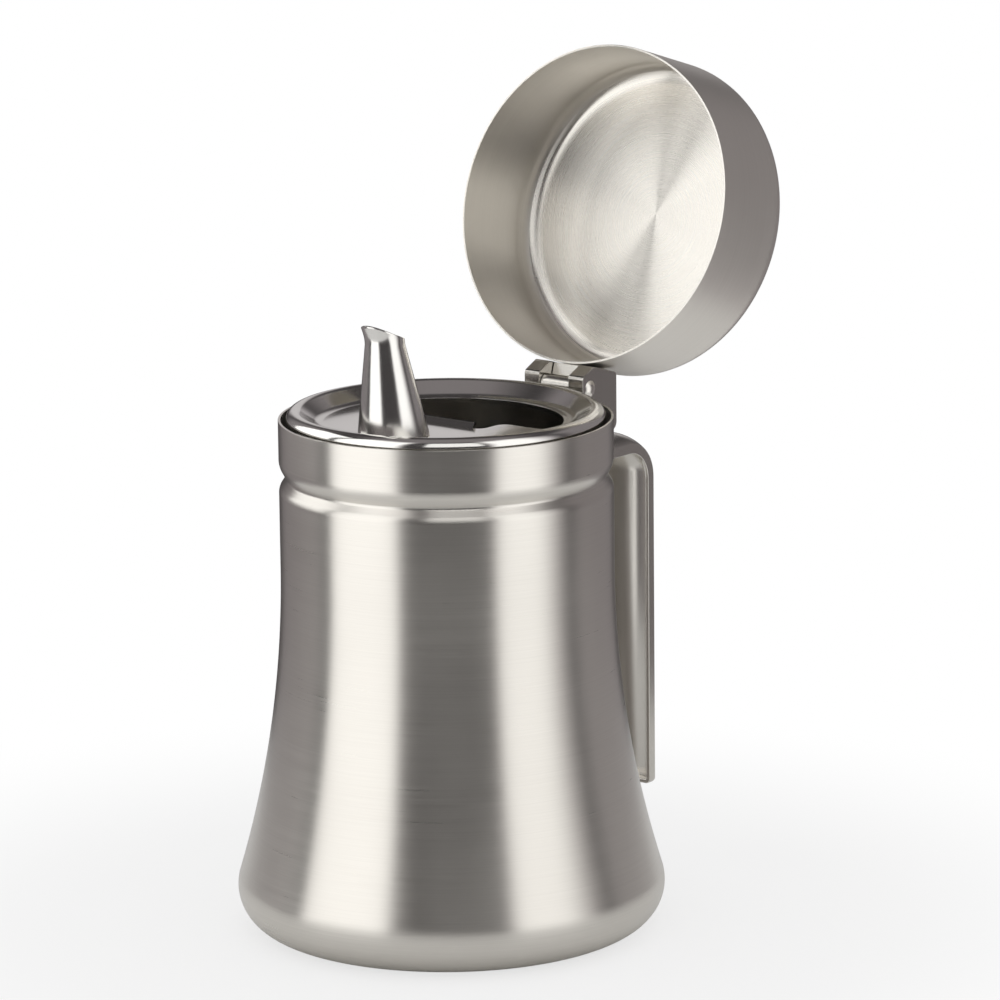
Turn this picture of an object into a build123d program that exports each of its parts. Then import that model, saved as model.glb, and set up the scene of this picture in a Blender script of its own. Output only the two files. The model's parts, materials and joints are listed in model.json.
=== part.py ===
"""Stainless oil can: a flared body with a rolled groove, a drop-in pouring insert with a spout,
a deep hinged lid that stands open, and an open channel handle.

Millimetres, +Z up. The origin is the centre of the underside, the spout faces -Y and the hinge
and handle are at +Y. The lid is drawn standing open against its stop.
"""

import os
from math import cos, hypot, radians, sin, sqrt

from build123d import *

# Body
rim_height = 137.3
collar_radius = 44.0
body_wall = 0.7
groove_drop = 15.6
groove_depth = 1.9
groove_rise = 3.6
groove_fall = 2.7
collar_edge_radius = 5.0
groove_floor_radius = 0.9
shoulder_radius = 3.2
flare_drop = 39.6
flare_radius = 285.0
foot_radius = 11.5
weld_gap = 0.05

# Lid
lid_inset = 0.6
lid_wall = 0.6
lid_depth = 29.6
lid_corner_radius = 6.0
lid_seat_gap = 0.3
lid_open_angle = 106.8

# Hinge
pin_stand_off = 5.4
pin_rise = 0.4
pin_radius = 1.4
pin_fit = 0.05
pin_head_radius = 2.3
pin_head_height = 0.9
barrel_radius = 2.8
barrel_width = 9.4
hinge_side_gap = 0.2
leaf_sheet = 1.2
leaf_length = 13.0
leaf_corner_radius = 2.0
stop_gap = 0.2
lug_width = 5.0
lug_front = 3.2
lug_top = 3.5
lug_drop = 2.9
lug_edge_radius = 1.2
bracket_depth = 11.8
bracket_drop = 12.6
bracket_web = 2.0
bracket_corner_radius = 2.4

# Handle
handle_width = 17.0
handle_crown = 2.4
handle_side = 2.7
handle_wall = 1.2
handle_drop = 15.9
handle_stand_off = 38.0
handle_end_height = 22.0
handle_bend_radius = 13.0
handle_edge_radius = 0.6
handle_end_radius = 1.5

# Pouring insert
insert_gap = 1.3
insert_sheet = 0.6
insert_crest_rise = 2.5
insert_round_radius = 2.6
insert_land = 0.8
insert_slope_radius = 2.4
insert_dish_radius = 4.0
insert_rim_width = 8.5
insert_floor_drop = 1.2
insert_seat_gap = 0.6
opening_margin = 2.6
opening_chord = 6.0
opening_corner_radius = 3.0
opening_turn_depth = 1.2
notch_width = 28.5
notch_reach = 9.5
lip_rise = 1.7
seal_height = 3.0
seal_drop = 7.0
seal_gap = 0.3
seal_edge_radius = 0.3

# Spout
spout_margin = 3.0
spout_base_radius = 8.9
spout_neck_radius = 4.7
spout_neck_rise = 24.3
spout_neck_lean = 3.0
spout_mouth_radius = 4.7
spout_mouth_rise = 26.9
spout_mouth_lean = 3.0
spout_mouth_slant = 22.8
spout_beak_reach = 2.7
spout_wall = 0.5

# Heights and radii that several pieces share
groove_height = rim_height - groove_drop
flare_height = rim_height - flare_drop
collar_bore = collar_radius - body_wall
pin_back = collar_radius + pin_stand_off
pin_height = rim_height + pin_rise
lid_radius = collar_radius - lid_inset
lid_rim_height = rim_height + lid_seat_gap
insert_radius = collar_bore - insert_gap
insert_floor_radius = insert_radius - insert_rim_width
floor_height = rim_height - insert_floor_drop
spout_back = insert_floor_radius - spout_margin - spout_base_radius
leaf_inner = lid_radius + weld_gap
leaf_outer = leaf_inner + leaf_sheet
slot_half = barrel_width / 2 + hinge_side_gap
bracket_half = slot_half + lug_width
swing = radians(lid_open_angle)


def opened(y, z):
    """Where a point of the closed lid, seen along X, lies once the lid has swung open."""
    back, up = y - pin_back, z - pin_height
    turned_back = back * cos(swing) + up * sin(swing)
    turned_up = up * cos(swing) - back * sin(swing)
    return (pin_back + turned_back, pin_height + turned_up)


os.makedirs("parts", exist_ok=True)

# Can wall: one line of sheet from the rim over the groove and the flare to the foot, spun about Z
flare_centre = Vector(collar_radius + flare_radius, flare_height)
foot_across = sqrt((flare_radius + foot_radius) ** 2 - (flare_height - foot_radius) ** 2)
foot_centre = Vector(flare_centre.X - foot_across, foot_radius)
flare_end = foot_centre + (flare_centre - foot_centre).normalized() * foot_radius



def collar_outline(outside):
    """The outside of the collar and the groove down to the flare, for one outside radius."""
    return FilletPolyline(
        (outside, rim_height),
        (outside, groove_height + groove_rise),
        (outside - groove_depth, groove_height),
        (outside, groove_height - groove_fall),
        (outside, flare_height),
        radius=(collar_edge_radius, groove_floor_radius, shoulder_radius),
    )


with BuildPart() as body_shell:
    with BuildSketch(Plane.XZ):
        with BuildLine():
            collar_line = collar_outline(collar_radius)
            flare_line = TangentArc(collar_line @ 1, flare_end, tangent=(0, -1))
            TangentArc(flare_line @ 1, (foot_centre.X, 0), tangent=flare_line % 1)
            offset(amount=body_wall, side=Side.RIGHT)
        make_face()
    revolve(axis=Axis.Z)
body_shell.part.label = "body_shell"
export_step(body_shell.part, "parts/body_shell.step")

# Bottom: a flat disc inside the foot, flush with its underside
with BuildPart() as base_disc:
    with BuildSketch():
        Circle(foot_centre.X - weld_gap)
    extrude(amount=body_wall)
base_disc.part.label = "base_disc"
export_step(base_disc.part, "parts/base_disc.step")

# Handle: a crowned channel, open towards the body, bent once, its lower end closed and free
handle_top = rim_height - handle_drop
handle_reach = collar_radius + handle_stand_off
handle_depth = handle_crown + handle_side
handle_start = (0, collar_radius - handle_depth, handle_top)
handle_half = handle_width / 2
handle_section_plane = Plane(origin=handle_start, x_dir=(1, 0, 0), z_dir=(0, 1, 0))


def handle_line(end_height):
    """The line along the middle of the handle's back, from inside the collar to a lower end."""
    with BuildLine() as line:
        FilletPolyline(
            handle_start,
            (0, handle_reach, handle_top),
            (0, handle_reach, end_height),
            radius=handle_bend_radius,
        )
    return line.wire()


with BuildPart() as handle:
    with BuildSketch(handle_section_plane) as handle_section:
        with BuildLine():
            back = ThreePointArc((-handle_half, handle_crown), (0, 0), (handle_half, handle_crown))
            Polyline(back @ 1, (handle_half, handle_depth), (-handle_half, handle_depth), back @ 0)
        make_face()
        fillet(handle_section.vertices().group_by(Axis.Y)[0], radius=handle_edge_radius)
    sweep(path=handle_line(handle_end_height))
    lower_end = handle.faces().sort_by(Axis.Z)[0]
    fillet(lower_end.edges().sort_by(Axis.Y)[-1], radius=handle_end_radius)
    with BuildSketch(handle_section_plane):
        offset(handle_section.sketch_local, amount=-handle_wall)
        with Locations((0, handle_depth)):
            Rectangle(handle_width - 2 * handle_wall, 2 * handle_wall, align=(Align.CENTER, Align.MAX))
    sweep(path=handle_line(handle_end_height + handle_wall), mode=Mode.SUBTRACT)
    with BuildSketch(Plane.XZ):
        with BuildLine():
            weld_line = collar_outline(collar_radius + weld_gap)
            Polyline(weld_line @ 1, (0, flare_height), (0, rim_height), weld_line @ 0)
        make_face()
    revolve(axis=Axis.Z, mode=Mode.SUBTRACT)
handle.part.label = "handle"
export_step(handle.part, "parts/handle.step")

# Hinge bracket: two lugs and a back web on the collar, with a sloped top that stops the open lid
stop_offset = pin_back - sqrt(lid_radius**2 - slot_half**2) - stop_gap
stop_start = (pin_back - stop_offset * cos(swing), pin_height + stop_offset * sin(swing))
bracket_back = pin_back + bracket_depth
stop_run = (bracket_back - stop_start[0]) / sin(swing)
stop_end = (bracket_back, stop_start[1] + stop_run * cos(swing))
bracket_foot = rim_height - bracket_drop
web_front = bracket_back - bracket_web
web_top = stop_end[1] - lug_edge_radius - 2 * leaf_sheet

with BuildPart() as hinge_bracket:
    with BuildSketch(Plane.YZ.offset(slot_half)) as lug_section:
        with BuildLine():
            Polyline(
                (collar_bore, bracket_foot),
                (bracket_back, bracket_foot),
                stop_end,
                stop_start,
                (pin_back - lug_front, pin_height + lug_top),
                (pin_back - lug_front, pin_height - lug_drop),
                (collar_bore, pin_height - lug_drop),
                close=True,
            )
        make_face()
        fillet(lug_section.vertices().group_by(Axis.X)[-1].sort_by(Axis.Y)[0], radius=bracket_corner_radius)
        fillet(lug_section.vertices().group_by(Axis.X)[-1].sort_by(Axis.Y)[-1], radius=lug_edge_radius)
        lug_face = pin_back - lug_front
        fillet(lug_section.vertices().filter_by_position(Axis.X, lug_face, lug_face), radius=lug_edge_radius)
    extrude(amount=lug_width)
    mirror(about=Plane.YZ)
    with BuildSketch(Plane.YZ):
        with BuildLine():
            Polyline(
                (web_front, bracket_foot + bracket_corner_radius),
                (bracket_back, bracket_foot + bracket_corner_radius),
                (bracket_back, web_top),
                (web_front, web_top),
                close=True,
            )
        make_face()
    extrude(amount=slot_half, both=True)
    with BuildSketch():
        Circle(collar_radius + weld_gap)
    extrude(amount=rim_height + lug_top, mode=Mode.SUBTRACT)
    with BuildSketch(Plane.YZ):
        with Locations((pin_back, pin_height)):
            Circle(pin_radius)
    extrude(amount=bracket_half, both=True, mode=Mode.SUBTRACT)
hinge_bracket.part.label = "hinge_bracket"
export_step(hinge_bracket.part, "parts/hinge_bracket.step")

# Hinge pin: a plain shank with a domed head on each end
head_sphere = (pin_head_radius**2 + pin_head_height**2) / (2 * pin_head_height)
with BuildPart() as hinge_pin:
    with BuildSketch(Plane.XZ):
        with BuildLine():
            shank_end = (bracket_half, pin_radius)
            head_edge = (bracket_half, pin_head_radius)
            head_top = (bracket_half + pin_head_height, 0)
            Polyline((0, 0), (0, pin_radius), shank_end, head_edge)
            RadiusArc(head_edge, head_top, head_sphere)
            Line(head_top, (0, 0))
        make_face()
    revolve(axis=Axis.X)
    mirror(about=Plane.YZ)
hinge_pin.part.position = (0, pin_back, pin_height)
hinge_pin.part.label = "hinge_pin"
export_step(hinge_pin.part, "parts/hinge_pin.step")

# Lid: a deep cup, drawn about its own axis where the open lid stands
lid_seat = Vector(0, *opened(0, lid_rim_height))
lid_up = Vector(0, sin(swing), cos(swing))
lid_plane = Plane(origin=lid_seat, x_dir=(1, 0, 0), z_dir=lid_up)
lid_section_plane = Plane(origin=lid_seat, x_dir=(1, 0, 0), z_dir=lid_up.cross(Vector(-1, 0, 0)))
lid_height = lid_depth + lid_wall
with BuildPart() as lid_shell:
    with BuildSketch(lid_section_plane):
        with BuildLine():
            FilletPolyline(
                (lid_radius, 0),
                (lid_radius, lid_height),
                (0, lid_height),
                radius=lid_corner_radius,
            )
            offset(amount=lid_wall, side=Side.LEFT)
        make_face()
    revolve(axis=Axis(lid_seat, lid_up))
lid_shell.part.label = "lid_shell"
export_step(lid_shell.part, "parts/lid_shell.step")

# Hinge leaf: a flat plate on the lid's wall, a neck and the barrel that turns on the pin
leaf_side_plane = Plane(
    origin=(0, pin_back, pin_height),
    x_dir=(0, cos(swing), -sin(swing)),
    z_dir=(1, 0, 0),
)
plate_in, plate_out = leaf_inner - pin_back, leaf_outer - pin_back
neck_low, neck_high = barrel_radius - leaf_sheet, barrel_radius
with BuildPart() as lid_leaf:
    with BuildSketch(leaf_side_plane):
        with BuildLine():
            Polyline(
                (plate_in, neck_low),
                (plate_out, neck_low),
                (plate_out, neck_low + leaf_length),
                (plate_in, neck_low + leaf_length),
                close=True,
            )
        make_face()
    extrude(amount=barrel_width / 2, both=True)
    plate_corners = lid_leaf.edges().filter_by(Axis(leaf_side_plane.origin, leaf_side_plane.x_dir))
    fillet(plate_corners, radius=leaf_corner_radius)
    with BuildSketch(leaf_side_plane):
        with BuildLine():
            Polyline((plate_in, neck_low), (0, neck_low), (0, neck_high), (plate_in, neck_high), close=True)
        make_face()
        Circle(barrel_radius)
    extrude(amount=barrel_width / 2, both=True)
    with BuildSketch(leaf_side_plane):
        Circle(pin_radius + pin_fit)
    extrude(amount=barrel_width / 2, both=True, mode=Mode.SUBTRACT)
lid_leaf.part.label = "lid_leaf"
export_step(lid_leaf.part, "parts/lid_leaf.step")

# Pouring insert: a polished dish whose skirt drops into the collar and sits on the groove's inner bead
bead_wall = body_wall * hypot(groove_rise, groove_depth) / groove_rise
bead_bore = collar_radius - groove_depth - bead_wall
skirt_foot = groove_height + groove_rise * (insert_radius - bead_bore) / groove_depth + insert_seat_gap
crest_height = rim_height + insert_crest_rise
opening_radius = insert_floor_radius - opening_margin
notch_front = opening_chord - notch_reach
with BuildPart() as insert_dish:
    with BuildSketch(Plane.XZ):
        with BuildLine():
            FilletPolyline(
                (insert_radius, skirt_foot),
                (insert_radius, crest_height),
                (insert_radius - insert_round_radius - insert_land, crest_height),
                (insert_floor_radius, floor_height),
                (0, floor_height),
                radius=(insert_round_radius, insert_slope_radius, insert_dish_radius),
            )
            offset(amount=insert_sheet, side=Side.LEFT)
        make_face()
    revolve(axis=Axis.Z)
    with BuildSketch(Plane.XY.offset(floor_height)) as opening:
        Circle(opening_radius)
        with Locations((0, opening_chord)):
            Rectangle(
                2 * opening_radius,
                opening_radius,
                align=(Align.CENTER, Align.MIN),
                mode=Mode.INTERSECT,
            )
        with Locations((0, opening_chord)):
            Rectangle(notch_width, notch_reach, align=(Align.CENTER, Align.MAX))
        fillet(opening.vertices(), radius=opening_corner_radius)
    extrude(amount=-insert_sheet, mode=Mode.SUBTRACT)
    with BuildSketch(Plane.XY.offset(floor_height)):
        offset(opening.sketch, amount=insert_sheet)
        add(opening.sketch, mode=Mode.SUBTRACT)
    extrude(amount=-opening_turn_depth)
    with BuildSketch(Plane.XY.offset(floor_height)):
        with Locations((0, -spout_back)):
            Circle(spout_base_radius - spout_wall)
    extrude(amount=-insert_sheet, mode=Mode.SUBTRACT)
    with BuildSketch(Plane.XY.offset(floor_height - insert_sheet)):
        with Locations((0, notch_front)):
            Rectangle(notch_width - 2 * opening_corner_radius, insert_sheet, align=(Align.CENTER, Align.MAX))
    extrude(amount=insert_sheet + lip_rise)
insert_dish.part.label = "insert_dish"
export_step(insert_dish.part, "parts/insert_dish.step")

# Seal: a ring round the skirt that fills the gap to the collar
with BuildPart() as seal_ring:
    with BuildSketch(Plane.XY.offset(rim_height - seal_drop)):
        Circle(collar_bore - seal_gap)
        Circle(insert_radius + weld_gap, mode=Mode.SUBTRACT)
    extrude(amount=seal_height)
    seal_rims = seal_ring.edges().filter_by(GeomType.CIRCLE).sort_by(SortBy.RADIUS)
    fillet(seal_rims[-2:], radius=seal_edge_radius)
seal_ring.part.label = "seal_ring"
export_step(seal_ring.part, "parts/seal_ring.step")


def spout_section(plane, radius, reach):
    """A round section of the spout, its front drawn out to a point where it has a reach."""
    front = (0, -radius - reach)
    with BuildSketch(plane) as section:
        with BuildLine():
            CenterArc((0, 0), radius, 0, 90)
            CenterArc((0, 0), radius, 90, 90)
            TangentArc((-radius, 0), front, tangent=(0, -1))
            TangentArc((radius, 0), front, tangent=(0, -1))
        make_face()
    return section.sketch.face()


# Spout: a tapered, leaning tube with a slanted mouth that ends in a beak
spout_base_plane = Plane(origin=(0, -spout_back, floor_height))
spout_neck_plane = Plane(origin=(0, -spout_back - spout_neck_lean, floor_height + spout_neck_rise))
spout_mouth_plane = Plane(
    origin=(0, -spout_back - spout_mouth_lean, floor_height + spout_mouth_rise),
    x_dir=(1, 0, 0),
    z_dir=(0, sin(radians(spout_mouth_slant)), cos(radians(spout_mouth_slant))),
)
with BuildPart() as spout_tube:
    for inset, mode in ((0, Mode.ADD), (spout_wall, Mode.SUBTRACT)):
        base = spout_section(spout_base_plane, spout_base_radius - inset, 0)
        neck = spout_section(spout_neck_plane, spout_neck_radius - inset, 0)
        mouth = spout_section(spout_mouth_plane, spout_mouth_radius - inset, spout_beak_reach)
        loft(sections=[base, neck], mode=mode)
        loft(sections=[neck, mouth], mode=mode)
spout_tube.part.label = "spout_tube"
export_step(spout_tube.part, "parts/spout_tube.step")
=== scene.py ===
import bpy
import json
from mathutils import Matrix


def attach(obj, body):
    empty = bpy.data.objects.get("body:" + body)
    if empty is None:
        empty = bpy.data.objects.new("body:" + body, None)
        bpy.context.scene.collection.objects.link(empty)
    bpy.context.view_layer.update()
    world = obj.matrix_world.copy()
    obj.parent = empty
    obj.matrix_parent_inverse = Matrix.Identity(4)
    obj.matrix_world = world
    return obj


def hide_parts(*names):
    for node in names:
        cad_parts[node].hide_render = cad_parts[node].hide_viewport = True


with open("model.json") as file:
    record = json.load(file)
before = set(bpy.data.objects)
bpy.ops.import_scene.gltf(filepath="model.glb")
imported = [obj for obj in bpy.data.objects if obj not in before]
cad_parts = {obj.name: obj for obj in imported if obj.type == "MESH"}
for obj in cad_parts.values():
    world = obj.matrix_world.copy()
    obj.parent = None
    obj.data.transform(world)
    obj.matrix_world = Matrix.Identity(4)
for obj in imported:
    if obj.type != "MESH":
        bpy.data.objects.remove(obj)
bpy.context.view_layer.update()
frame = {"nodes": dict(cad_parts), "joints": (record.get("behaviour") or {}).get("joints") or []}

import json
from math import asin, atan2, cos, exp, pi, radians, sin, sqrt, tan

import bmesh
import bpy
from mathutils import Matrix, Vector

# The can wall: thin stainless sheet, deep drawn and spun into a straight collar, a rolled groove
# and a long flare that ends in a rounded foot. It is brushed on a lathe, so the fine scratches
# run round it. The pieces' sizes are millimetres, and each piece turns to metres at its end.
rim_height = 137.3
collar_radius = 44.0
body_wall = 0.7
groove_height = 121.7
groove_depth = 1.9
groove_above = 3.6
groove_below = 2.7
groove_bends = (5.0, 0.9, 3.2)
rim_wear = 0.16
flare_start = 97.7
flare_radius = 285.0
foot_radius = 11.5


def sheet_line(points):
    """A bent line of sheet in the XZ plane, before it is spun."""
    line = bmesh.new()
    corners = [line.verts.new((across, 0, up)) for across, up in points]
    for start, end in zip(corners, corners[1:]):
        line.edges.new((start, end))
    return line, corners


def round_corner(line, corner, radius, segments):
    """Bend a corner of the line to a radius."""
    one, other = (edge.other_vert(corner).co - corner.co for edge in corner.link_edges)
    bmesh.ops.bevel(
        line, geom=[corner], offset=radius / tan(one.angle(other) / 2), offset_type="OFFSET",
        affect="VERTICES", segments=segments, profile=0.5, material=-1,
    )


def sweep_end(line, end, centre, axis, angle, steps):
    """Carry the line's end on round a centre, and return the new end."""
    swept = bmesh.ops.spin(line, geom=[end], cent=centre, axis=axis, angle=angle, steps=steps)
    return swept["geom_last"][0]


def spin_round(line, axis, steps, centre=(0, 0, 0)):
    """Turn the line right round an axis into a closed skin that faces outwards."""
    bmesh.ops.spin(
        line, geom=line.verts[:] + line.edges[:], cent=centre, axis=axis,
        angle=2 * pi, steps=steps, use_merge=True,
    )
    bmesh.ops.remove_doubles(line, verts=line.verts, dist=0.001)
    bmesh.ops.recalc_face_normals(line, faces=line.faces)


def thicken(shell, wall):
    """Give the skin its sheet, inwards from the side that it faces."""
    bmesh.ops.solidify(shell, geom=shell.faces[:], thickness=wall)


def ease_edges(shell, angle, width, segments=2):
    """Take the sharpness off every edge that turns by more than an angle."""
    sharp = [
        e for e in shell.edges
        if len(e.link_faces) == 2 and e.calc_face_angle() > radians(angle)
    ]
    bmesh.ops.bevel(
        shell, geom=sharp, offset=width, offset_type="OFFSET", affect="EDGES",
        segments=segments, profile=0.5, material=-1, clamp_overlap=True,
    )


def finish_piece(name, shell, finish, body, slot, *nodes):
    """Hang a finished mesh on its body, in metres, in place of its CAD solids."""
    bmesh.ops.scale(shell, vec=(0.001, 0.001, 0.001), verts=shell.verts)
    mesh = bpy.data.meshes.new(name)
    shell.to_mesh(mesh)
    shell.free()
    mesh.polygons.foreach_set("use_smooth", [True] * len(mesh.polygons))
    mesh.set_sharp_from_angle(angle=radians(32))
    mesh.materials.append(finish)
    piece = bpy.data.objects.new(name, mesh)
    bpy.context.scene.collection.objects.link(piece)
    piece.modifiers.new("even_shading", "WEIGHTED_NORMAL").keep_sharp = True
    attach(piece, body)
    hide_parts(*nodes)
    return piece


flare_centre = Vector((collar_radius + flare_radius, 0, flare_start))
foot_across = sqrt((flare_radius + foot_radius) ** 2 - (flare_start - foot_radius) ** 2)
foot_centre = Vector((flare_centre.x - foot_across, 0, foot_radius))
flare_angle = asin((flare_start - foot_radius) / (flare_radius + foot_radius))

wall, corners = sheet_line([
    (collar_radius, rim_height),
    (collar_radius, groove_height + groove_above),
    (collar_radius - groove_depth, groove_height),
    (collar_radius, groove_height - groove_below),
    (collar_radius, flare_start),
])
flare_end = sweep_end(wall, corners[-1], flare_centre, (0, -1, 0), flare_angle, 40)
sweep_end(wall, flare_end, foot_centre, (0, 1, 0), pi / 2 + flare_angle, 28)
for corner, radius in zip(corners[1:4], groove_bends):
    round_corner(wall, corner, radius, 8)
spin_round(wall, (0, 0, 1), 192)
thicken(wall, body_wall)
ease_edges(wall, 60, rim_wear)


class Wire:
    """A node's output that can be written into sums, and the way to add the next node."""

    def __init__(self, tree, socket=None):
        self.tree, self.socket = tree, socket

    def node(self, kind, settings=None, sockets=None, out=0):
        made = self.tree.nodes.new(kind)
        for name, value in (settings or {}).items():
            setattr(made, name, value)
        for name, value in (sockets or {}).items():
            if isinstance(value, Wire):
                self.tree.links.new(value.socket, made.inputs[name])
            else:
                made.inputs[name].default_value = value
        return Wire(self.tree, made.outputs[out])

    def also(self, out):
        return Wire(self.tree, self.socket.node.outputs[out])

    def sum(self, operation, left, right):
        return self.node("ShaderNodeMath", {"operation": operation}, {0: left, 1: right})

    def __add__(self, other):
        return self.sum("ADD", self, other)

    def __radd__(self, other):
        return self.sum("ADD", other, self)

    def __sub__(self, other):
        return self.sum("SUBTRACT", self, other)

    def __rsub__(self, other):
        return self.sum("SUBTRACT", other, self)

    def __mul__(self, other):
        return self.sum("MULTIPLY", self, other)

    def __rmul__(self, other):
        return self.sum("MULTIPLY", other, self)

    def __pow__(self, other):
        return self.sum("POWER", self, other)


def new_finish(name):
    """An empty material: its wire to start from, and its output node."""
    finish = bpy.data.materials.new(name)
    finish.use_nodes = True
    finish.node_tree.nodes.clear()
    start = Wire(finish.node_tree)
    output = finish.node_tree.nodes.new("ShaderNodeOutputMaterial")
    return finish, start, output


def blend_colours(start, share, one, other):
    return start.node(
        "ShaderNodeMix", {"data_type": "RGBA"}, {0: share, 6: one, 7: other}, 2,
    )


def scratches(start, place, stretch, detail=2.0):
    """Noise drawn out along the scratches, from 0 to 1 about a middle of a half."""
    stretched = start.node("ShaderNodeMapping", {}, {"Vector": place, "Scale": stretch})
    return start.node("ShaderNodeTexNoise", {}, {"Vector": stretched, "Scale": 1.0, "Detail": detail})


def brushed_steel(
    name, place_of, fine, coarse, roughness=0.3, groove=0.000006,
    anisotropic=0.0, turn=0.0, painted_brightness=1.0,
):
    """Brushed stainless: hair-fine grooves that spread its gloss across the brushing, a few longer
    scratches that show, and slow clouds of haze. fine and coarse are grooves to the metre."""
    finish, start, output = new_finish(name)
    coordinates = start.node("ShaderNodeTexCoord", {}, {}, "Object")
    place = place_of(start, coordinates)
    hairs = scratches(start, place, fine, 1.0)
    lines = scratches(start, place, coarse, 3.0)
    cloud = start.node("ShaderNodeTexNoise", {}, {
        "Vector": coordinates, "Scale": 38.0, "Detail": 4.0, "Roughness": 0.55,
    })
    grain = 0.45 * hairs + 0.55 * lines
    # The shade factor scales both colours up or down for a piece: painted light above 1, painted shade
    # below 1.
    dull = (0.655 * painted_brightness, 0.628 * painted_brightness, 0.58 * painted_brightness, 1)
    clean = (0.79 * painted_brightness, 0.762 * painted_brightness, 0.71 * painted_brightness, 1)
    colour = blend_colours(start, grain, dull, clean)
    rough = roughness + 0.10 * (lines - 0.5) + 0.06 * (cloud - 0.5)
    bump = start.node("ShaderNodeBump", {}, {"Height": hairs, "Strength": 1.0, "Distance": groove})
    shader = start.node("ShaderNodeBsdfPrincipled", {}, {
        "Base Color": colour, "Roughness": rough, "Metallic": 1.0, "Normal": bump,
        "Anisotropic": anisotropic, "Anisotropic Rotation": turn,
    })
    finish.node_tree.links.new(shader.socket, output.inputs["Surface"])
    return finish


def as_placed(start, coordinates):
    return coordinates


can_steel = brushed_steel(
    "can_steel", as_placed, (40.0, 40.0, 11000.0), (26.0, 26.0, 2600.0), groove=0.0000025,
    anisotropic=0.75, turn=0.25,
)
finish_piece("can_wall", wall, can_steel, "can", "brushed", "body_shell")

# The bottom: a flat disc of the same sheet, welded inside the foot and brushed round in a lathe.
# Its CAD solid is right as it is, so it only takes its finish here.


def rings_about_z(start, coordinates):
    """Across and along stay, and the third coordinate becomes the distance from the axis."""
    flat = start.node("ShaderNodeVectorMath", {"operation": "MULTIPLY"}, {0: coordinates, 1: (1, 1, 0)})
    reach = start.node("ShaderNodeVectorMath", {"operation": "LENGTH"}, {0: flat}, "Value")
    across = start.node("ShaderNodeSeparateXYZ", {}, {"Vector": coordinates}, "X")
    along, up = across.also("Y"), across.also("Z")
    return start.node("ShaderNodeCombineXYZ", {}, {"X": across, "Y": along, "Z": reach + up})


base_steel = brushed_steel(
    "base_steel", rings_about_z, (40.0, 40.0, 9000.0), (26.0, 26.0, 2200.0),
    roughness=0.26, groove=0.00003,
)
base = frame["nodes"]["base_disc"]
base.data.materials.clear()
base.data.materials.append(base_steel)

# The handle: one strip of stainless sheet pressed into a shallow crowned channel with turned sides,
# bent over at the top and welded into the collar's groove. Its lower end is closed and stands free.
handle_width = 17.0
handle_crown = 2.4
handle_side = 2.7
handle_wall = 1.2
handle_top = 121.4
handle_reach = 82.0
handle_end = 22.0
handle_bend = 13.0
handle_end_round = 1.5
handle_rim_round = 0.3
weld_gap = 0.05
handle_edge = handle_top - handle_crown
crown_radius = (handle_width ** 2 / 4 + handle_crown ** 2) / (2 * handle_crown)
crown_turn = 2 * asin(handle_width / 2 / crown_radius)

channel, corners = sheet_line([
    (-handle_width / 2, handle_edge - handle_side), (-handle_width / 2, handle_edge),
])
crown_centre = (0, 0, handle_top - crown_radius)
far_corner = sweep_end(channel, corners[1], crown_centre, (0, 1, 0), crown_turn, 16)
far_side = channel.verts.new((handle_width / 2, 0, handle_edge - handle_side))
channel.edges.new((far_corner, far_side))
section = channel.edges[:]
for vert in channel.verts:
    above = vert.co.z - groove_height
    sunk = groove_depth * max(0, 1 - max(above / groove_above, above / -groove_below))
    vert.co.y = sqrt((collar_radius + weld_gap - sunk) ** 2 - vert.co.x ** 2)


def draw_out(shell, edges, place):
    """Pull the section's edges out to a flat place, and return the new edges."""
    pulled = bmesh.ops.extrude_edge_only(shell, edges=edges)["geom"]
    for vert in (v for v in pulled if isinstance(v, bmesh.types.BMVert)):
        place(vert)
    return [e for e in pulled if isinstance(e, bmesh.types.BMEdge)]


def to_bend(vert):
    vert.co.y = handle_reach - handle_bend


def to_end(vert):
    vert.co.z = handle_end


section = draw_out(channel, section, to_bend)
bend_centre = (0, handle_reach - handle_bend, handle_top - handle_bend)
bent = bmesh.ops.spin(
    channel, geom=section + list({v for e in section for v in e.verts}),
    cent=bend_centre, axis=(1, 0, 0), angle=-pi / 2, steps=18,
)
section = [e for e in bent["geom_last"] if isinstance(e, bmesh.types.BMEdge)]
section = draw_out(channel, section, to_end)
bmesh.ops.contextual_create(channel, geom=section)
bmesh.ops.recalc_face_normals(channel, faces=channel.faces)
bmesh.ops.bevel(
    channel, geom=section, offset=handle_end_round, offset_type="OFFSET", affect="EDGES",
    segments=5, profile=0.5, material=-1, clamp_overlap=True,
)
bmesh.ops.recalc_face_normals(channel, faces=channel.faces)
thicken(channel, handle_wall)
ease_edges(channel, 40, handle_rim_round, 4)
# Its colours are painted darker than the can's, by a shade factor of 0.86: painted shade.
handle_steel = brushed_steel(
    "handle_steel", as_placed, (9000.0, 60.0, 60.0), (2200.0, 40.0, 40.0),
    roughness=0.22, groove=0.000004, painted_brightness=0.86,
)
finish_piece("handle_channel", channel, handle_steel, "can", "brushed", "handle")

# The hinge bracket: a small stainless block with two lugs and a back web, welded to the collar.
# Its edges are tumbled, and the wall of the open lid comes to rest on the lugs' sloped tops.
lug_wear = 0.3


def tumbled_copy(node, width):
    """A copy of a CAD solid with its edges worn round."""
    copy = bmesh.new()
    copy.from_mesh(frame["nodes"][node].data)
    bmesh.ops.scale(copy, vec=(1000, 1000, 1000), verts=copy.verts)
    bmesh.ops.remove_doubles(copy, verts=copy.verts, dist=0.002)
    bmesh.ops.dissolve_limit(copy, angle_limit=radians(1.5), verts=copy.verts, edges=copy.edges)
    ease_edges(copy, 35, width)
    return copy


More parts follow.
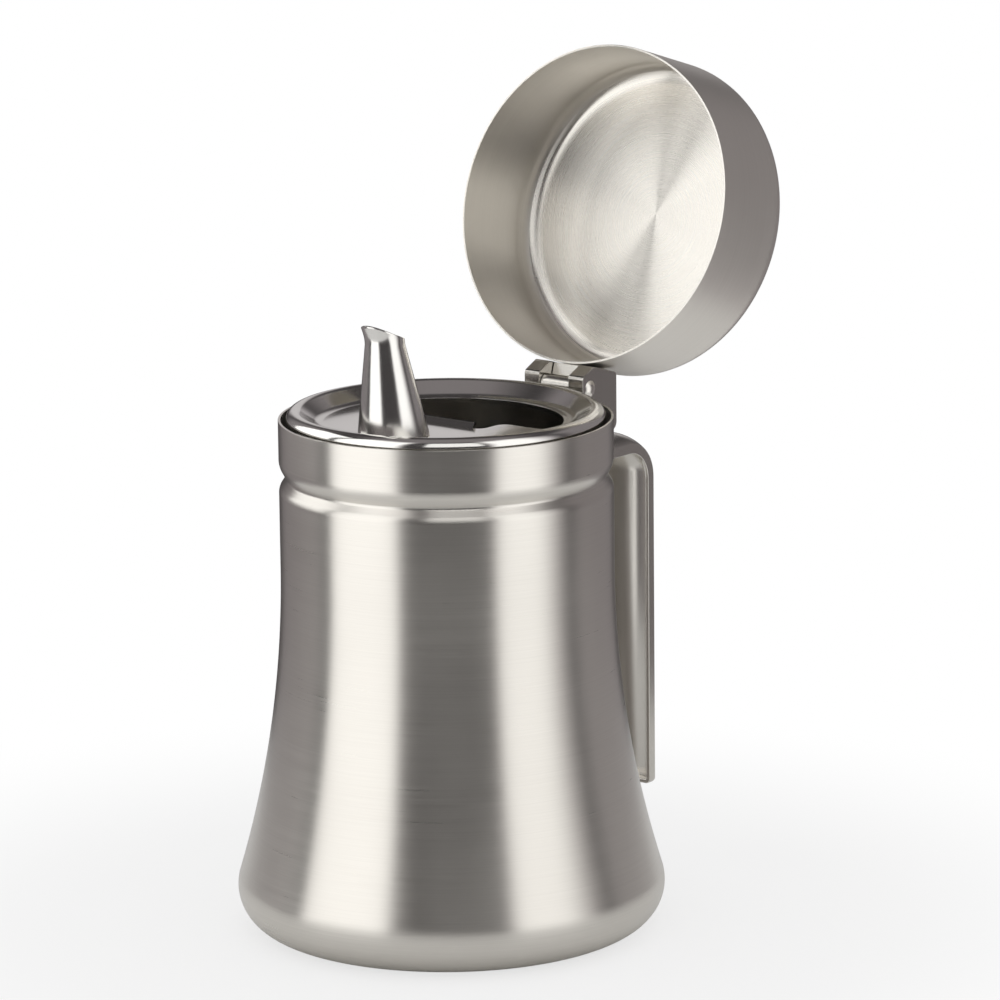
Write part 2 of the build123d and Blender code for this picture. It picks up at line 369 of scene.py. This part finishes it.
# Its colours are painted darker than the can's, by a shade factor of 0.76: painted shade.
bracket_steel = brushed_steel(
    "bracket_steel", as_placed, (7000.0, 7000.0, 90.0), (2400.0, 2400.0, 60.0),
    roughness=0.18, groove=0.000006, painted_brightness=0.76,
)
lugs = tumbled_copy("hinge_bracket", lug_wear)
finish_piece("hinge_lugs", lugs, bracket_steel, "can", "brushed", "hinge_bracket")

# The hinge pin: a drawn stainless rod through both lugs, with its ends set into low domed heads.
# It keeps the fine lines of drawing, and the lid's barrel turns on its middle.
pin_back = 49.4
pin_height = 137.7
pin_radius = 1.4
lug_outside = 9.9
head_radius = 2.3
head_height = 0.9
head_sphere = (head_radius ** 2 + head_height ** 2) / (2 * head_height)
head_spread = asin(head_radius / head_sphere)

pin, corners = sheet_line([
    (0, pin_radius), (lug_outside, pin_radius), (lug_outside, head_radius),
])
dome_centre = (lug_outside + head_height - head_sphere, 0, 0)
sweep_end(pin, corners[-1], dome_centre, (0, 1, 0), head_spread, 8)
spin_round(pin, (1, 0, 0), 40)
half = bmesh.ops.duplicate(pin, geom=pin.verts[:] + pin.edges[:] + pin.faces[:])["geom"]
half_verts = [v for v in half if isinstance(v, bmesh.types.BMVert)]
bmesh.ops.scale(pin, vec=(-1, 1, 1), verts=half_verts)
bmesh.ops.remove_doubles(pin, verts=pin.verts, dist=0.001)
bmesh.ops.recalc_face_normals(pin, faces=pin.faces)
bmesh.ops.translate(pin, vec=(0, pin_back, pin_height), verts=pin.verts)

drawn_steel = brushed_steel(
    "drawn_steel", as_placed, (90.0, 7000.0, 7000.0), (60.0, 2400.0, 2400.0),
    roughness=0.22, groove=0.00001,
)
finish_piece("hinge_rod", pin, drawn_steel, "can", "polished", "hinge_pin")

# The lid: a deep cup drawn from thin stainless sheet, its rim trimmed and left square. It is
# brushed in a lathe inside and out, so light fans across the rings of scratches on its flat top.
lid_radius = 43.4
lid_wall = 0.6
lid_height = 30.2
lid_corner = 6.0
lid_rim = 137.6
lid_rim_wear = 0.14
hinge = next(joint for joint in frame["joints"] if joint["name"] == "lid_hinge")
swing = radians(hinge["range_deg"][1])
swung_open = (
    Matrix.Translation((0, pin_back, pin_height))
    @ Matrix.Rotation(-swing, 4, "X")
    @ Matrix.Translation((0, -pin_back, -pin_height))
)

lid_top = lid_rim + lid_height
cup, corners = sheet_line([(lid_radius, lid_rim), (lid_radius, lid_top), (0, lid_top)])
round_corner(cup, corners[1], lid_corner, 12)
spin_round(cup, (0, 0, 1), 192)
thicken(cup, lid_wall)
ease_edges(cup, 60, lid_rim_wear)
flat_enough = 0.7
for face in cup.faces:
    face.material_index = int(abs(face.normal.z) > flat_enough)
bmesh.ops.transform(cup, matrix=swung_open, verts=cup.verts)


def rings_about_lid(start, coordinates):
    """The lid's own axis, upright again, so that the rings run round it."""
    upright = swung_open.inverted()
    place = upright.to_translation() * 0.001
    shut = start.node("ShaderNodeMapping", {}, {
        "Vector": coordinates, "Location": place, "Rotation": upright.to_euler(),
    })
    return rings_about_z(start, shut)


# Both lid finishes have their colours painted brighter than the can's by the shade factor, the flat top
# most, 1.22 against the walls' 1.06: painted light on one sheet of steel.
lid_steel = brushed_steel(
    "lid_steel", rings_about_lid, (9.0, 9.0, 12000.0), (12.0, 12.0, 4200.0),
    roughness=0.37, groove=0.00002, painted_brightness=1.06,
)
lid_top_steel = brushed_steel(
    "lid_top_steel", rings_about_lid, (9.0, 9.0, 12000.0), (12.0, 12.0, 4200.0),
    roughness=0.27, groove=0.000002, anisotropic=1.0, turn=0.25, painted_brightness=1.22,
)
lid_cup = finish_piece("lid_cup", cup, lid_steel, "lid", "brushed", "lid_shell").data
lid_cup.materials.append(lid_top_steel)
# Centred on the top, so that the brushed gloss runs round the lid's own rings.
lid_cup.use_auto_texspace = False
lid_cup.texspace_location = swung_open @ Vector((0, 0, lid_top)) * 0.001
lid_cup.texspace_size = (0.1, 0.1, 0.1)

# The hinge leaf: a stainless plate spot welded to the back of the lid, rolled at its edge into
# the barrel that turns on the pin. It has the pin's drawn finish.
leaf_wear = 0.15
leaf = tumbled_copy("lid_leaf", leaf_wear)
finish_piece("lid_hinge_leaf", leaf, drawn_steel, "lid", "polished", "lid_leaf")

# The pouring insert: a dish pressed from thin stainless and mirror polished, with a rolled crest,
# a skirt that drops into the collar, a D-shaped filling opening and a small finger lip.
insert_radius = 42.0
insert_sheet = 0.6
crest_height = 139.8
crest_width = 3.4
dish_bends = (2.6, 2.4, 4.0)
skirt_foot = 123.61
dish_floor = 136.1
floor_radius = 33.5
floor_trim = 31.8
opening_radius = 30.9
opening_chord = 6.0
opening_corner = 3.0
opening_round = 0.5
notch_half = 14.25
notch_front = -3.5
lip_rise = 1.3
lip_lean = 1.5
opening_turn = 1.2
spout_back = 21.6
spout_foot = 8.9
spout_wall = 0.5

dish, corners = sheet_line([
    (insert_radius, skirt_foot), (insert_radius, crest_height),
    (insert_radius - crest_width, crest_height), (floor_radius, dish_floor),
    (floor_trim, dish_floor),
])
for corner, radius in zip(corners[1:4], dish_bends):
    round_corner(dish, corner, radius, 9)
spin_round(dish, (0, 0, 1), 160)


def free_on_floor(edge):
    return edge.is_boundary and all(abs(v.co.z - dish_floor) < 0.01 for v in edge.verts)


floor_edges = [e for e in dish.edges if free_on_floor(e)]

corner_along = opening_chord + opening_corner
corner_across = sqrt((opening_radius - opening_corner) ** 2 - corner_along ** 2)
corner_angle = atan2(corner_along, corner_across)
corner_turn = pi / 2 + corner_angle
opening = bmesh.new()
end = opening.verts.new((
    opening_radius * cos(corner_angle), opening_radius * sin(corner_angle), dish_floor,
))
end = sweep_end(opening, end, (0, 0, 0), (0, 0, 1), pi - 2 * corner_angle, 56)
end = sweep_end(opening, end, (-corner_across, corner_along, 0), (0, 0, 1), corner_turn, 8)
notch = [
    opening.verts.new((across, along, dish_floor))
    for across, along in (
        (-notch_half, opening_chord), (-notch_half, notch_front),
        (notch_half, notch_front), (notch_half, opening_chord), (corner_across, opening_chord),
    )
]
for one, other in zip([end] + notch, notch):
    opening.edges.new((one, other))
sweep_end(opening, notch[-1], (corner_across, corner_along, 0), (0, 0, 1), corner_turn, 8)
for corner in notch[:4]:
    round_corner(opening, corner, opening_corner, 8)
bmesh.ops.create_circle(
    opening, segments=64, radius=spout_foot - spout_wall,
    matrix=Matrix.Translation((0, -spout_back, dish_floor)),
)
bmesh.ops.remove_doubles(opening, verts=opening.verts, dist=0.01)
cut_out = bpy.data.meshes.new("opening")
opening.to_mesh(cut_out)
opening.free()
dish.from_mesh(cut_out)
bpy.data.meshes.remove(cut_out)
holes = [e for e in dish.edges if not e.link_faces]
bmesh.ops.triangle_fill(dish, edges=holes + floor_edges, use_beauty=True, normal=(0, 0, 1))
bmesh.ops.remove_doubles(dish, verts=dish.verts, dist=0.001)
bmesh.ops.recalc_face_normals(dish, faces=dish.faces)
opening_edges = [
    e for e in dish.edges
    if free_on_floor(e) and all(v.co.y > notch_front - 0.01 for v in e.verts)
]
lip_edges = [e for e in opening_edges if all(v.co.y < notch_front + 0.01 for v in e.verts)]
turned_edges = [e for e in opening_edges if e not in lip_edges]


def up_to_lip(vert):
    vert.co += Vector((0, lip_lean, lip_rise))


def down_to_turn(vert):
    vert.co.z = dish_floor - opening_turn


draw_out(dish, turned_edges, down_to_turn)
draw_out(dish, lip_edges, up_to_lip)
bmesh.ops.recalc_face_normals(dish, faces=dish.faces)
bmesh.ops.bevel(
    dish, geom=turned_edges + lip_edges, offset=opening_round, offset_type="OFFSET",
    affect="EDGES", segments=4, profile=0.5, material=-1, clamp_overlap=True,
)
thicken(dish, insert_sheet)


def polished_steel(name, roughness=0.12):
    """Mirror polished stainless with the faint haze and hairlines that wiping leaves."""
    finish, start, output = new_finish(name)
    coordinates = start.node("ShaderNodeTexCoord", {}, {}, "Object")
    haze = start.node("ShaderNodeTexNoise", {}, {
        "Vector": coordinates, "Scale": 70.0, "Detail": 4.0, "Roughness": 0.6,
    })
    hairs = scratches(start, coordinates, (900.0, 120.0, 900.0), 3.0)
    colour = blend_colours(start, haze, (0.74, 0.725, 0.69, 1), (0.83, 0.815, 0.785, 1))
    rough = roughness + 0.05 * (haze - 0.5) + 0.05 * hairs ** 3.0
    bump = start.node("ShaderNodeBump", {}, {"Height": haze, "Strength": 0.35, "Distance": 0.0001})
    shader = start.node("ShaderNodeBsdfPrincipled", {}, {
        "Base Color": colour, "Roughness": rough, "Metallic": 1.0, "Normal": bump,
    })
    finish.node_tree.links.new(shader.socket, output.inputs["Surface"])
    return finish


bright_steel = polished_steel("bright_steel")
finish_piece("pouring_dish", dish, bright_steel, "insert", "polished", "insert_dish")

# The spout: a tapered stainless tube, its mouth cut on a slant and drawn out into a beak, welded
# over its hole in the dish and polished a little less bright than that.
spout_roughness = 0.17
neck_radius = 4.7
neck_rise = 24.3
neck_lean = 3.0
mouth_rise = 26.9
mouth_slant = radians(22.8)
beak_reach = 2.7
beak_spread = radians(45)
beak_curl = 0.45
mouth_wear = 0.1

# Each ring of the tube is so much foot and so much mouth, and neck where it is neither.
foot_and_mouth = ((1, 0), (0.5, 0), (0, 0), (0, 0.3), (0, 0.55), (0, 0.75), (0, 0.9), (0, 1))
tube = bmesh.new()
rings = []
for low, top in foot_and_mouth:
    radius = neck_radius + low * (spout_foot - neck_radius)
    lean = neck_lean * (1 - low)
    rise = neck_rise * (1 - low) + top * (mouth_rise - neck_rise)
    ring = bmesh.ops.create_circle(tube, segments=96, radius=radius)["verts"]
    for vert in ring:
        aside = abs(atan2(vert.co.x, -vert.co.y))
        drawn = top ** 2 * exp(-((aside / beak_spread) ** 2))
        vert.co *= 1 + beak_reach * drawn / radius
        vert.co.z += beak_curl * drawn
    slant = Matrix.Rotation(-mouth_slant * top, 3, "X")
    bmesh.ops.rotate(tube, cent=(0, 0, 0), matrix=slant, verts=ring)
    bmesh.ops.translate(tube, vec=(0, -spout_back - lean, dish_floor + rise), verts=ring)
    rings.append({e for v in ring for e in v.link_edges})
for lower, upper in zip(rings, rings[1:]):
    bmesh.ops.bridge_loops(tube, edges=list(lower | upper))
bmesh.ops.recalc_face_normals(tube, faces=tube.faces)
thicken(tube, spout_wall)
ease_edges(tube, 60, mouth_wear)
spout_steel = polished_steel("spout_steel", spout_roughness)
finish_piece("spout_beak", tube, spout_steel, "insert", "polished", "spout_tube")

# The seal: a black rubber ring, stretched round the skirt where it meets the collar. Two lips with
# a shallow groove between them face the collar.
seal_inside = 42.05
seal_outside = 43.0
seal_foot = 130.3
seal_height = 3.0
seal_lip = 1.2
seal_groove = 0.35
seal_round = 0.12

seal_top = seal_foot + seal_height
seal, corners = sheet_line([
    (seal_inside, seal_foot), (seal_outside, seal_foot), (seal_outside, seal_foot + seal_lip),
    (seal_outside - seal_groove, seal_foot + seal_height / 2),
    (seal_outside, seal_top - seal_lip), (seal_outside, seal_top), (seal_inside, seal_top),
])
seal.edges.new((corners[-1], corners[0]))
spin_round(seal, (0, 0, 1), 128)
ease_edges(seal, 40, seal_round)

seal_rubber, start, output = new_finish("seal_rubber")
coordinates = start.node("ShaderNodeTexCoord", {}, {}, "Object")
grain = start.node("ShaderNodeTexNoise", {}, {
    "Vector": coordinates, "Scale": 1400.0, "Detail": 3.0,
})
dust = start.node("ShaderNodeTexNoise", {}, {
    "Vector": coordinates, "Scale": 160.0, "Detail": 4.0,
})
shader = start.node("ShaderNodeBsdfPrincipled", {}, {
    "Base Color": blend_colours(start, dust, (0.008, 0.008, 0.008, 1), (0.03, 0.03, 0.03, 1)),
    "Roughness": 0.5 + 0.25 * (grain - 0.5),
    "Normal": start.node("ShaderNodeBump", {}, {"Height": grain, "Strength": 0.4, "Distance": 0.0001}),
})
seal_rubber.node_tree.links.new(shader.socket, output.inputs["Surface"])
finish_piece("seal_lips", seal, seal_rubber, "insert", "seal", "seal_ring")

# The table: a round white table top, which keeps the can's soft shadow and pales to the backdrop.
# From here on, sizes are in metres.
table_reach = 0.25
fade_start = 0.1
fade_end = 0.23
table = bmesh.new()
bmesh.ops.create_circle(table, cap_ends=True, segments=96, radius=table_reach)
table_mesh = bpy.data.meshes.new("table")
table.to_mesh(table_mesh)
table.free()
floor = bpy.data.objects.new("table", table_mesh)
bpy.context.scene.collection.objects.link(floor)
table_white, start, output = new_finish("table_white")


def soft_edge(start, value, dark, bright):
    """From 0 where it is dark to 1 where it is bright."""
    return start.node(
        "ShaderNodeMapRange", {"interpolation_type": "SMOOTHSTEP"},
        {"Value": value, "From Min": dark, "From Max": bright},
    )


coordinates = start.node("ShaderNodeTexCoord", {}, {}, "Object")
reach = start.node("ShaderNodeVectorMath", {"operation": "LENGTH"}, {0: coordinates}, "Value")
seen = start.node("ShaderNodeLightPath", {}, {}, "Is Camera Ray")
paper = start.node("ShaderNodeBsdfDiffuse", {}, {"Color": (0.85, 0.85, 0.85, 1)})
glow = start.node("ShaderNodeEmission", {}, {"Color": (1, 1, 1, 1), "Strength": 1.0})
plain_white = seen * (0.7 + 0.3 * soft_edge(start, reach, fade_start, fade_end))
covered = start.node("ShaderNodeMixShader", {}, {0: plain_white, 1: paper, 2: glow})
table_white.node_tree.links.new(covered.socket, output.inputs["Surface"])
table_mesh.materials.append(table_white)

# The cards: a white one to the left of the can, level with the raised lid, a dark upright by its
# near edge, and a white one on the camera's side, from the top of the lid upwards. They show only
# in the steel.
lid_middle = Vector((0, 0.068, 0.185))


def stand_card(name, aim, away, width, foot, head, strength):
    """An upright card that faces the lid, at an angle and a distance from it."""
    towards = Matrix.Rotation(radians(aim), 3, "Z")
    card = bmesh.new()
    bmesh.ops.create_grid(card, x_segments=1, y_segments=1, size=0.5)
    bmesh.ops.scale(card, vec=(width, head - foot, 1), verts=card.verts)
    on_edge = Matrix.Rotation(pi / 2, 3, "X")
    bmesh.ops.rotate(card, cent=(0, 0, 0), matrix=on_edge, verts=card.verts)
    bmesh.ops.translate(card, vec=(0, away, 0), verts=card.verts)
    bmesh.ops.rotate(card, cent=(0, 0, 0), matrix=towards, verts=card.verts)
    place = (lid_middle.x, lid_middle.y, (head + foot) / 2)
    bmesh.ops.translate(card, vec=place, verts=card.verts)
    mesh = bpy.data.meshes.new(name)
    card.to_mesh(mesh)
    card.free()
    board = bpy.data.objects.new(name, mesh)
    bpy.context.scene.collection.objects.link(board)
    paint, start, output = new_finish(name)
    mirrored = start.node("ShaderNodeLightPath", {}, {}, "Is Glossy Ray")
    clear = start.node("ShaderNodeBsdfTransparent", {}, {"Color": (1, 1, 1, 1)})
    lit = start.node("ShaderNodeEmission", {}, {"Color": (1, 1, 1, 1), "Strength": strength})
    shown = start.node("ShaderNodeMixShader", {}, {0: mirrored, 1: clear, 2: lit})
    paint.node_tree.links.new(shown.socket, output.inputs["Surface"])
    mesh.materials.append(paint)


stand_card("white_card", aim=115.3, away=0.5, width=0.4, foot=0.14, head=0.62, strength=1.5)
stand_card("dark_upright", aim=141.3, away=0.4, width=0.034, foot=0.0, head=0.7, strength=0.02)
stand_card("front_card", aim=218.3, away=0.4, width=0.26, foot=0.225, head=0.6, strength=1.15)

# The studio: two tall soft boxes, left and right of the camera, a dark and slightly warm room about
# them, and the white backdrop behind the can, in degrees round from the camera's side and upwards.
# The camera itself sees plain white.
camera_place = Vector((0.915019, -1.135254, 0.434257))
room = bpy.data.worlds.new("studio")
bpy.context.scene.world = room
room.use_nodes = True
room.node_tree.nodes.clear()
start = Wire(room.node_tree)
direction = start.node("ShaderNodeTexCoord", {}, {}, "Generated")
faced = start.node(
    "ShaderNodeVectorRotate", {"rotation_type": "Z_AXIS"},
    {"Vector": direction, "Angle": -atan2(camera_place.y, camera_place.x)},
)
ahead = start.node("ShaderNodeSeparateXYZ", {}, {"Vector": faced}, "X")
aside = start.sum("ARCTAN2", ahead.also("Y"), ahead) * (180 / pi)
height = start.sum("ARCSINE", ahead.also("Z"), 0.0) * (180 / pi)
left_box = soft_edge(start, aside, -92, -83) * soft_edge(start, aside, -30, -38)
right_box = soft_edge(start, aside, 29, 38) * soft_edge(start, aside, 94, 62)
boxes = (1.4 * left_box + 1.25 * right_box) * soft_edge(start, height, 70, 50)
turned = start.sum("ABSOLUTE", aside, 0.0)
sides = soft_edge(start, turned, 90, 106) * soft_edge(start, turned, 165, 145)
low_sides = sides * soft_edge(start, height, 50, 34)
behind = soft_edge(start, turned, 160, 172)
backdrop = behind * soft_edge(start, height, 0, 8) * soft_edge(start, height, 32, 18)
ceiling = soft_edge(start, height, 50, 75)
ground = soft_edge(start, height, -25, -50)
lamps = boxes + 0.55 * backdrop
glossy_light = 0.055 + 0.18 * low_sides + lamps + 0.17 * ceiling + 0.2 * ground
camera_ray = start.node("ShaderNodeLightPath", {}, {}, "Is Camera Ray")
glossy_ray = camera_ray.also("Is Glossy Ray")
other_light = 0.85 * (1 - glossy_ray) + glossy_ray * glossy_light
strength = camera_ray + (1 - camera_ray) * other_light
warm_room = (1, 0.92, 0.95, 1)
colour = blend_colours(start, lamps + (1 - glossy_ray), warm_room, (1, 1, 1, 1))
sky = start.node("ShaderNodeBackground", {}, {"Color": colour, "Strength": strength})
room_output = room.node_tree.nodes.new("ShaderNodeOutputWorld")
room.node_tree.links.new(sky.socket, room_output.inputs["Surface"])

# The camera stands some way off to the right of the spout and looks a little down on the rim,
# as in the photograph.
lens = bpy.data.cameras.new("camera")
lens.sensor_width = 36.0
lens.lens = 204.5
camera = bpy.data.objects.new("camera", lens)
right = Vector((0.78595, 0.61820, -0.01057))
up = Vector((-0.12423, 0.17464, 0.97676))
back = right.cross(up)
turned_to_can = Matrix((right, up, back)).transposed().to_4x4()
camera.matrix_world = Matrix.Translation(camera_place) @ turned_to_can
bpy.context.scene.collection.objects.link(camera)
bpy.context.scene.camera = camera
bpy.context.scene.view_settings.view_transform = "Standard"
